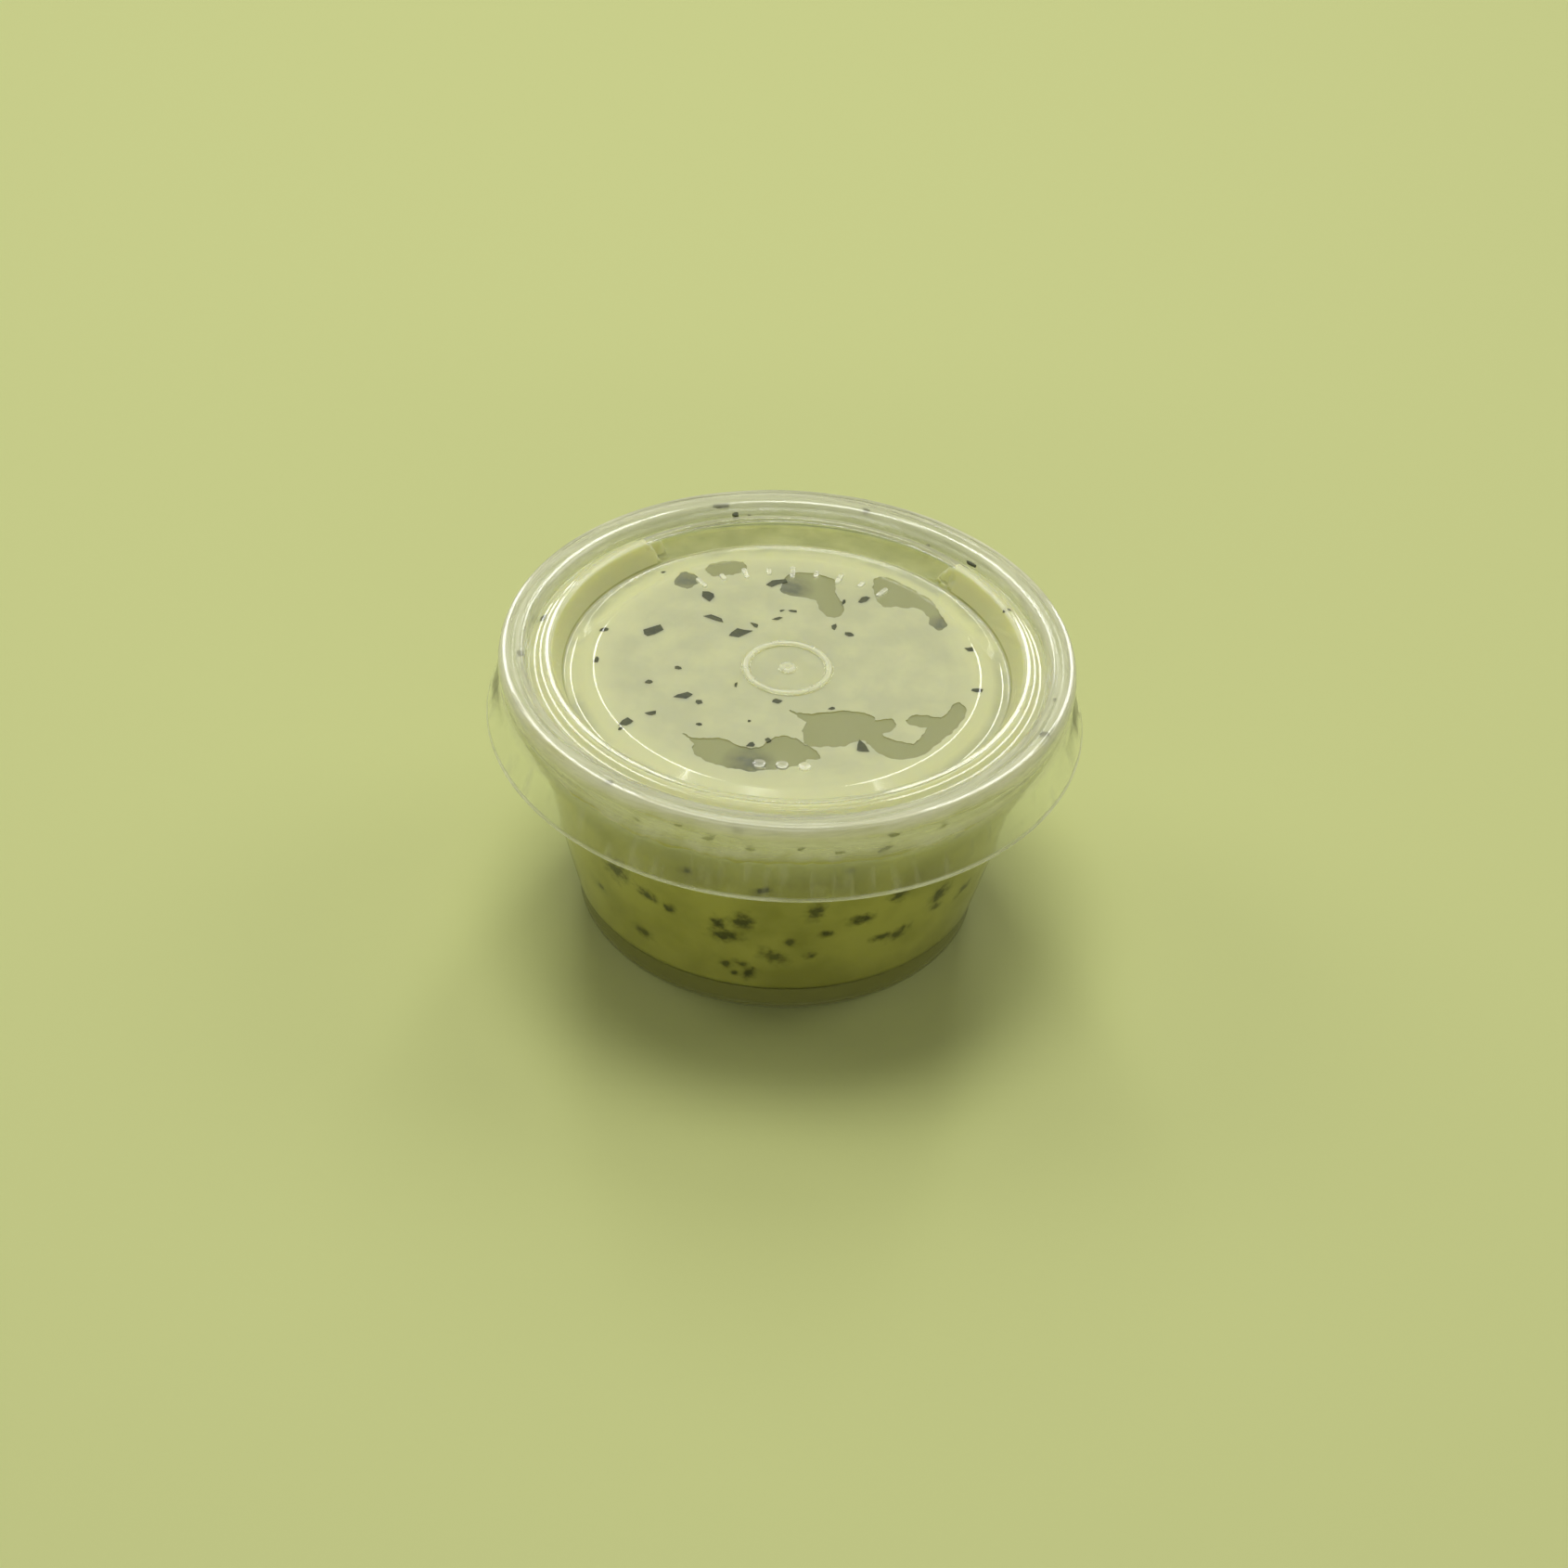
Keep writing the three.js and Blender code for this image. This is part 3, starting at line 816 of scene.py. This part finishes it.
islands = [
    [(7.3, -9.7), (7.9, -9.2), (8.8, -9.3), (8.9, -9.7), (8.1, -10.0)],
    [(0.3, 14.9), (0.7, 15.3), (1.1, 15.0), (0.8, 14.5)],
]
# Spots of painted shadow in the air pockets, as (x, y, reach).
pocketShadowSpots = [(-3.5, -17, 3.2), (-0.2, 15.6, 3), (16.9, 10.2, 2), (-12, 16, 2.6)]


# How full the ring round the well is at a point: 1 where the sauce touches the lid, 0 at the back.
def ringShare(x, y):
    turn = math.degrees(math.atan2(x, y)) - sauce["emptyMiddle"]
    ragged = noise.noise(Vector((x, y, 0)) * 0.7) * 5 + noise.noise(Vector((x, y, 9)) * 2.1) * 2
    edge = sauce["emptyHalf"] + ragged
    return smoothStep(edge - sauce["emptyEdge"], edge + sauce["emptyEdge"], abs(turn))


def sauceMesh():
    over = sauce["overlap"]
    low = cup["floorTop"]
    wallTop = sauce["wallLevel"]
    wallRadius = cup["mouthRadius"] - cup["wall"] + 0.16
    contact = [Vector((p.x, p.y + over)) for p in underLine if p.x < lid["plugRadius"] + 0.2]
    rows = [sauce["rowStart"] + sauce["rowStep"] * i for i in range(sauce["rows"])]
    side = roundedLine([
        (0, low - over),
        (12, low - over),
        (cupInnerRadius(low) + over, low - over, 0.9),
        *[(cupInnerRadius(row) + over, row) for row in rows],
        (cupInnerRadius(cup["mouthHeight"]) + over, cup["mouthHeight"], 0.3),
        (wallRadius + over, wallTop, 0.15),
        (lid["plugRadius"] + 0.3, wallTop + 0.1),
    ])
    fine = [contact[0]]
    for point in contact[1:]:  # short steps, so that the ring's ragged edge is smooth
        steps = 1
        if point.x > lid["plateauRadius"]:
            steps = max(1, int((point - fine[-1]).length / sauce["ringStep"]))
        fine += [fine[-1].lerp(point, (k + 1) / steps) for k in range(steps)]
    mesh = spinProfile([*side, *reversed(fine)])
    grooveEnd = lid["grooveRadius"] + 0.5
    for vert in mesh.verts:
        radius = math.hypot(vert.co.x, vert.co.y)
        if radius < grooveEnd or vert.co.z < sauce["lowLevel"]:
            continue
        rim = smoothStep(28.6, 29.2, radius) * 0.15 + smoothStep(grooveEnd + 0.4, grooveEnd, radius) * 0.1
        level = sauce["lowLevel"] + rim
        vert.co.z = level + (vert.co.z - level) * ringShare(vert.co.x, vert.co.y)
    return mesh


# Flecks that show through the cup's wall, as (degrees round from the front, height, length, width, turn).
# Others are scattered over the side that the camera doesn't see.
sideFlecks = [
    (-41, 16.5, 3.0, 2.5, 60), (-32, 15, 2.2, 1.3, -20), (-26, 14.2, 1.2, 1.2, 0),
    (-13.5, 14.2, 1.7, 1.3, 90), (-7.5, 15, 2.4, 2.0, 80), (-11.5, 12.2, 2.6, 1.8, 10),
    (-50, 10.7, 1.2, 1.0, 0), (9.5, 17.3, 2.6, 1.5, 80), (21.5, 15.1, 2.4, 1.4, 0),
    (30, 17.8, 1.8, 1.5, -30), (44, 14.7, 2.2, 2.0, 50), (44, 12.4, 1.5, 1.0, -20),
    (55, 12.2, 2.4, 1.3, 20), (33.5, 10.5, 2.4, 1.6, 20), (28, 10.8, 2.0, 1.0, 0),
    (10, 9.5, 1.1, 0.9, 0), (0.5, 9.3, 2.9, 1.6, -35), (-7.5, 7.5, 1.4, 1.0, -30), (-12, 7, 1.1, 1.0, 0),
    (-5.5, 6, 1.8, 1.3, 70), (-9.5, 5.6, 0.9, 0.8, 0), (4.5, 12, 1.2, 1.0, 0), (13, 13.3, 1.2, 1.0, 0),
    (-36, 7.5, 2.0, 1.4, 0), (42, 25, 1.2, 1.0, 0), (-20, 22, 1.4, 0.9, 30), (16, 24, 1.3, 0.9, -40),
    (-3, 21, 1.5, 1.0, 10),
]
sideScatter = {
    "growth": 1.2,
    "count": 46,
    "start": 62,  # degrees
    "span": 236,
    "reach": 3.6,  # no fleck colours points further away than this
    "depth": 1,  # nor points further in
}


# Flecks in the sauce's side are marked on its points.
def addSideFlecks(data):
    draw = random.Random(5)
    rows = [(*row, draw.uniform(0.75, 1)) for row in sideFlecks]
    scatter = sideScatter
    for i in range(scatter["count"]):
        around = scatter["start"] + scatter["span"] * (i + draw.uniform(0, 0.9)) / scatter["count"]
        size = draw.uniform(0.8, 2.6)
        height = draw.uniform(5.5, 26)
        width = size * draw.uniform(0.5, 0.85)
        rows.append((around, height, size, width, draw.uniform(0, 180), draw.uniform(0.5, 1)))
    leaves = data.attributes.new("leaf", "FLOAT", "POINT").data
    tones = data.attributes.new("leafTone", "FLOAT", "POINT").data
    for i, vert in enumerate(data.vertices):
        x, y, z = vert.co / mm
        radius = math.hypot(x, y)
        leaves[i].value = -1
        if radius < cupInnerRadius(z) - scatter["depth"] or z > cup["mouthHeight"]:
            continue
        turnHere = math.degrees(math.atan2(x, -y))
        for around, height, length, width, turn, strength in rows:
            up = z - height
            if abs(up) > scatter["reach"]:
                continue
            side = math.radians((turnHere - around + 180) % 360 - 180) * radius
            if abs(side) > scatter["reach"]:
                continue
            lean = math.radians(turn)
            u = (side * math.cos(lean) + up * math.sin(lean)) / (length * scatter["growth"] / 2)
            v = (up * math.cos(lean) - side * math.sin(lean)) / (width * scatter["growth"] / 2)
            inside = 1 - math.hypot(u, v)
            if inside > leaves[i].value:
                leaves[i].value = inside
                tones[i].value = strength


# Upright blocks with ragged outlines, to cut with.
def outlineMesh(outlines, floor):
    cutters = bmesh.new()
    for outline in outlines:
        loop = []
        for point in smoothLoop(outline, sauce["loopSteps"]):
            ragged = noise.noise_vector(Vector((point.x, point.y, 0)) * 1.3) * sauce["ragged"]
            ragged += noise.noise_vector(Vector((point.x, point.y, 5)) * 3.6) * sauce["ragged"] * 0.4
            loop.append(cutters.verts.new((point.x + ragged.x, point.y + ragged.y, floor)))
        base = cutters.faces.new(loop)
        raisedPart = bmesh.ops.extrude_face_region(cutters, geom=[base])
        lifted = [item for item in raisedPart["geom"] if isinstance(item, bmesh.types.BMVert)]
        bmesh.ops.translate(cutters, verts=lifted, vec=(0, 0, 1))
    bmesh.ops.recalc_face_normals(cutters, faces=cutters.faces)
    return cutters


def makeSauce():
    floor = plateauUnder - sauce["pocketDepth"]
    body = toObject("sauceBody", sauceMesh())
    air = toObject("pocketTool", outlineMesh(pockets, floor))
    combine(air, toObject("islandTool", outlineMesh(islands, floor - 1)), "DIFFERENCE")
    combine(body, air, "DIFFERENCE")
    finishes = [makeSauceFinish(), makeShadedPocketFinish(pocketShadowSpots), makeLowFinish()]
    finishPiece(body, finishes, "sauce")
    for face in body.data.polygons:
        middle = face.center / mm
        radius = math.hypot(middle.x, middle.y)
        inPocket = floor - 0.02 < middle.z < plateauUnder + sauce["overlap"] - 0.02
        isLow = abs(middle.z - sauce["lowLevel"]) < 0.3 and face.normal.z > 0.5
        if inPocket and radius < lid["plateauRadius"] - 0.6:
            face.material_index = 1
        elif isLow and radius > lid["grooveRadius"] + 0.6:
            face.material_index = 2
    addSideFlecks(body.data)


makeSauce()


# A thin film of sauce has crept between the cup's rim and the lid at the front: one sheet clings to the
# lid's shoulder, the other slopes from the cup's wall to the lid below the rim.
film = {
    "halfTurn": 62,  # degrees each side of the front
    "turnSteps": 220,
    "lineSteps": 10,
    "thickness": 0.2,
    "overlap": 0.03,
    "innerRadius": 30.8,
    "shoulderLow": 31.2,
    "shoulderLowAtEnds": 32.2,
    "slopeTop": (29.95, 30.8),
    "slopeLow": 28.05,
    "slopeLowAtEnds": 30.6,
    "ragged": 0.5,
    "raggedScales": (0.45, 1.7),
    "endPower": 4,  # how late the lower edges rise towards the ends
}


# The inner radius of the lid at a height below its crown.
def fallRadius(height):
    return heightAlong([Vector((-p.y, p.x)) for p in fallLine], -height)


# Evenly spaced points down the inside of the lid, from its shoulder to a height.
def fallPoints(low, steps):
    line = [point for point in fallLine if point.x > film["innerRadius"] and point.y > low]
    line.append(Vector((fallRadius(low), low)))
    lengths = [0]
    for a, b in zip(line, line[1:]):
        lengths.append(lengths[-1] + (b - a).length)
    radii = [Vector((length, point.x)) for length, point in zip(lengths, line)]
    heights = [Vector((length, point.y)) for length, point in zip(lengths, line)]
    places = [lengths[-1] * k / steps for k in range(steps + 1)]
    return [Vector((heightAlong(radii, place), heightAlong(heights, place))) for place in places]


# A sheet between lines of (radius, height) points, one for each turn round the axis.
def addSheet(mesh, lines):
    rows = []
    for around, points in lines:
        outer, inner = [], []
        for k, point in enumerate(points):
            along = points[min(k + 1, len(points) - 1)] - points[max(k - 1, 0)]
            away = Vector((-along.y, along.x)).normalized()
            for layer, reach in ((outer, film["overlap"]), (inner, film["overlap"] - film["thickness"])):
                radius, height = point + away * reach
                place = (radius * math.sin(around), -radius * math.cos(around), height)
                layer.append(mesh.verts.new(place))
        rows.append([*outer, *reversed(inner)])
    for left, right in zip(rows, rows[1:]):
        for k in range(len(left)):
            mesh.faces.new((left[k - 1], right[k - 1], right[k], left[k]))
    mesh.faces.new(rows[0])
    mesh.faces.new(rows[-1])


def makeFilm():
    shoulder, slope = [], []
    steps = film["lineSteps"]
    top = Vector(film["slopeTop"])
    for i in range(film["turnSteps"] + 1):
        share = i / film["turnSteps"] * 2 - 1
        around = math.radians(share * film["halfTurn"])
        toEnd = abs(share) ** film["endPower"]
        spot = Vector((math.sin(around), math.cos(around), 0)) * 30
        slow, quick = [noise.noise(spot * scale) for scale in film["raggedScales"]]
        low = film["shoulderLow"]
        low += (film["shoulderLowAtEnds"] - low) * toEnd
        shoulder.append((around, fallPoints(low, steps)))
        low = film["slopeLow"] + film["ragged"] * (slow * 0.7 + quick * 0.3)
        low += (film["slopeLowAtEnds"] - low) * toEnd
        foot = Vector((fallRadius(low), low))
        slope.append((around, [top.lerp(foot, k / steps) for k in range(steps + 1)]))
    mesh = bmesh.new()
    addSheet(mesh, shoulder)
    addSheet(mesh, slope)
    bmesh.ops.recalc_face_normals(mesh, faces=mesh.faces)
    finishPiece(toObject("rimSauce", mesh), [makeFilmFinish()])


makeFilm()


# Herb flecks

herbs = {
    "corners": 6,
    "thickness": 0.28,
    "proud": 0.05,
    "growth": 1.25,
    "filmThickness": 0.08,
    "reach": (0.55, 1.3),  # of the corners from the middle of a fleck
    "crown": 0.75,  # the share of a fleck that its raised middle takes
}


# A chip of leaf with an uneven outline in the XY plane, put in its place by a matrix.
def addFleck(mesh, place, length, width, thickness, draw):
    chip = bmesh.new()
    corners = herbs["corners"]
    bmesh.ops.create_circle(chip, cap_ends=True, segments=corners, radius=1)
    for vert in chip.verts:
        reach = draw.uniform(*herbs["reach"]) / 2
        angle = math.atan2(vert.co.y, vert.co.x) + draw.uniform(-0.6, 0.6) * math.pi / corners
        vert.co = Vector((length * reach * math.cos(angle), width * reach * math.sin(angle), 0))
    top = bmesh.ops.extrude_face_region(chip, geom=chip.faces[:])["geom"]
    bmesh.ops.translate(chip, verts=[item for item in top if isinstance(item, bmesh.types.BMVert)],
                        vec=(0, 0, thickness))
    topFaces = [item for item in top if isinstance(item, bmesh.types.BMFace)]
    inner = bmesh.ops.extrude_face_region(chip, geom=topFaces)["geom"]
    for vert in [item for item in inner if isinstance(item, bmesh.types.BMVert)]:
        vert.co = Vector((vert.co.x * herbs["crown"], vert.co.y * herbs["crown"], thickness + 0.02))
    bmesh.ops.recalc_face_normals(chip, faces=chip.faces)
    tones = chip.verts.layers.float.new("tone")
    tone = draw.uniform(0, 0.7)
    for vert in chip.verts:
        vert[tones] = tone
    bmesh.ops.transform(chip, matrix=place, verts=chip.verts)
    data = bpy.data.meshes.new("chip")
    chip.to_mesh(data)
    chip.free()
    mesh.from_mesh(data)
    bpy.data.meshes.remove(data)


# Flecks that lie in the top, as (x, y, length, width, turn in degrees).
topFlecks = [
    (-1.8, 16.4, 1.8, 1.0, 30), (-9.4, 13.2, 1.7, 1.6, 0), (-8.4, 8.9, 2.2, 0.9, -30),
    (-15.2, 5.6, 2.6, 1.3, 50), (-5.5, 6.4, 2.2, 1.1, 25), (-3.9, 8.0, 0.9, 0.5, -45),
    (-1.4, 9.4, 1.0, 0.6, 30), (-1.0, 11.0, 0.7, 0.3, 10), (0.2, 11.0, 1.0, 0.4, 0),
    (5.0, 8.4, 0.9, 0.5, 80), (6.7, 7.2, 1.3, 0.6, -10), (8.3, 14.1, 1.4, 0.6, 50),
    (6.0, 13.3, 1.0, 0.4, 80), (-12.0, -0.9, 0.6, 0.5, 0), (-15.0, -3.8, 0.7, 0.5, 20),
    (-11.0, -5.9, 2.1, 0.9, 10), (-9.4, -6.9, 0.9, 0.8, 60), (-14.4, -9.5, 1.1, 0.7, 20),
    (-1.0, -6.0, 0.9, 0.6, 0), (5.1, -6.8, 0.7, 0.5, 0), (-16.9, -11.3, 1.1, 1.2, -60),
    (-17.5, -12.3, 0.5, 0.4, 90), (-9.1, -10.9, 0.6, 0.4, 0), (-3.8, -9.9, 0.4, 0.3, 90),
    (-1.6, -13.0, 0.7, 0.6, 0), (-3.4, -14.0, 0.9, 0.7, 40), (8.4, -13.2, 1.7, 1.1, -60),
    (20.3, 5.5, 1.0, 0.7, -30), (20.9, -2.0, 0.9, 0.8, 0), (-20.6, 5.5, 0.8, 0.6, 0),
    (-21.0, -0.2, 1.0, 0.6, 80), (-5.5, -3.4, 0.8, 0.3, 90), (-14.8, 17.8, 0.5, 0.4, 0),
]

# Flecks under the lid's rings, as seen from the camera on a level plane through the land:
# (x, y, length, width, turn).
landLevel = 32.5
landFlecks = [
    (-26.9, 3.6, 2.2, 1.2, 65), (-29.2, -3.5, 1.2, 0.8, 80), (-9.0, 27.8, 2.2, 0.4, 15),
    (-7.0, 26.3, 1.3, 0.8, 70), (-5.4, 26.5, 0.8, 0.4, 80), (8.1, 28.4, 1.3, 0.8, -70),
    (15.4, 21.7, 1.8, 0.8, 80), (20.2, 18.9, 1.5, 0.5, -40), (24.3, 9.5, 0.9, 0.5, -20),
    (28.7, -2.7, 1.6, 0.5, 80), (29.0, -6.6, 0.5, 0.5, 0), (27.8, -12.8, 1.2, 0.8, 20),
    (22.6, -18.4, 2.0, 0.8, 70), (3.4, -26.8, 1.0, 0.9, 0), (-18.0, -25.2, 1.2, 0.5, 10),
    (-2.8, -29.0, 0.8, 0.4, 20),
]

# Flecks that cling to the inside of the lid's shoulder and in the film, given like those of the wall.
filmFlecks = [
    (-7.6, 31.9, 1.9, 1.5, 0), (-0.6, 32, 0.5, 0.9, 0), (-19, 31.2, 1.1, 0.5, 10),
    (4.5, 30.2, 0.9, 0.5, 35), (-5, 29.5, 1.2, 0.7, 0), (22, 31.1, 1.4, 0.6, 0), (21, 29, 1.6, 0.8, 20),
    (-13, 30.4, 1.8, 0.7, 15), (-28, 30, 1.3, 0.6, -20), (12, 29.3, 1.2, 0.6, 0), (33, 30.3, 1, 0.6, 30),
]

# The point under the lid that the camera sees at (x, y) of the level plane through the land.
def underLidAt(x, y):
    seen = Vector((x, y, landLevel))
    point = seen.copy()
    for _ in range(8):
        height = heightAlong(underLine, math.hypot(point.x, point.y))
        point = eye + (seen - eye) * (eye.z - height) / (eye.z - landLevel)
    return point


# A place on an upright round wall, facing outwards.
def wallPlace(around, height, turn, radius):
    return (Matrix.Rotation(math.radians(around), 4, "Z")
            @ Matrix.Translation((0, -radius, height))
            @ Matrix.Rotation(math.pi / 2, 4, "X")
            @ Matrix.Rotation(math.radians(turn), 4, "Z"))


def makeHerbs():
    draw = random.Random(5)
    thick = herbs["thickness"]
    mesh = bmesh.new()
    for x, y, length, width, turn in topFlecks:
        length, width = length * herbs["growth"], width * herbs["growth"]
        height = heightAlong(underLine, math.hypot(x, y)) + sauce["overlap"] + herbs["proud"]
        place = Matrix.Translation((x, y, height - thick)) @ Matrix.Rotation(math.radians(turn), 4, "Z")
        addFleck(mesh, place, length, width, thick, draw)
    finishPiece(toObject("topHerbs", mesh), [makeHerbFinish("topHerb")])

    mesh = bmesh.new()
    for x, y, length, width, turn in landFlecks:
        point = underLidAt(x, y)
        place = (Matrix.Translation((point.x, point.y, point.z + 0.04 - thick))
                 @ Matrix.Rotation(math.radians(turn), 4, "Z"))
        addFleck(mesh, place, length, width, thick, draw)
    finishPiece(toObject("ringHerbs", mesh), [makeHerbFinish("ringHerb")])

    mesh = bmesh.new()
    for around, height, length, width, turn in filmFlecks:
        place = wallPlace(around, height, turn, fallRadius(height) - 0.02)
        addFleck(mesh, place, length, width, herbs["filmThickness"], draw)
    olive = makeHerbFinish("filmHerb", sauceLook["olive"], sauceLook["olivePale"])
    finishPiece(toObject("filmHerbs", mesh), [olive])


makeHerbs()


# Table, light and picture

stage = {
    "tableSize": 6.0,  # metres
    "tableColour": (0.62, 0.66, 0.25, 1),
    "fibreScale": 900,
    "fibreDepth": 0.0001,
    "keyPlace": (-0.06, 0.17, 0.82),
    "keySize": 0.4,
    "keyPower": 2.9,
    "frontPlace": (0.0, -1.5, 0.58),
    "frontSize": (3.0, 0.1),
    "frontPower": 5.4,
    "stripPlaces": [(-0.29, 1.03, 1.03), (0.29, 1.03, 1.03)],
    "stripSize": (0.13, 0.8),
    "stripPower": 2.8,
    "sidePlaces": [(-1.25, 0.6, 1.0), (1.25, 0.6, 1.0)],
    "sideSize": 0.8,
    "sidePower": 3.3,
    "worldStrength": 0.12,
}


def makeTable():
    mesh = bmesh.new()
    bmesh.ops.create_grid(mesh, x_segments=1, y_segments=1, size=stage["tableSize"] / 2 / mm)
    table = toObject("table", mesh)
    tree = newFinish("paleTable")
    fibre = objectNoise(tree, stage["fibreScale"], detail=4)
    bump = addNode(tree, "Bump", {"Height": fibre, "Strength": 0.2, "Distance": stage["fibreDepth"]})
    setOutput(tree, addNode(tree, "BsdfPrincipled", {
        "Base Color": stage["tableColour"], "Roughness": 0.7, "Normal": bump.outputs["Normal"]}).outputs[0])
    table.data.materials.append(bpy.data.materials["paleTable"])


def addLight(name, place, size, power):
    data = bpy.data.lights.new(name, "AREA")
    data.energy = power
    if isinstance(size, tuple):
        data.shape = "RECTANGLE"
        data.size, data.size_y = size
    else:
        data.shape = "DISK"
        data.size = size
    light = bpy.data.objects.new(name, data)
    bpy.context.scene.collection.objects.link(light)
    light.location = place
    light.rotation_euler = (-Vector(place)).to_track_quat("-Z", "Y").to_euler()


def makeLight():
    addLight("keySoftbox", stage["keyPlace"], stage["keySize"], stage["keyPower"])
    addLight("frontStrip", stage["frontPlace"], stage["frontSize"], stage["frontPower"])
    for place in stage["stripPlaces"]:
        addLight("backStrip", place, stage["stripSize"], stage["stripPower"])
    for place in stage["sidePlaces"]:
        addLight("sideSoftbox", place, stage["sideSize"], stage["sidePower"])
    world = bpy.data.worlds.new("studio")
    bpy.context.scene.world = world
    world.use_nodes = True
    world.node_tree.nodes["Background"].inputs["Color"].default_value = (1, 1, 0.97, 1)
    world.node_tree.nodes["Background"].inputs["Strength"].default_value = stage["worldStrength"]
    scene = bpy.context.scene
    scene.view_settings.view_transform = "Standard"
    scene.cycles.max_bounces = 16
    scene.cycles.transmission_bounces = 16
    scene.cycles.transparent_max_bounces = 32


makeTable()
makeLight()
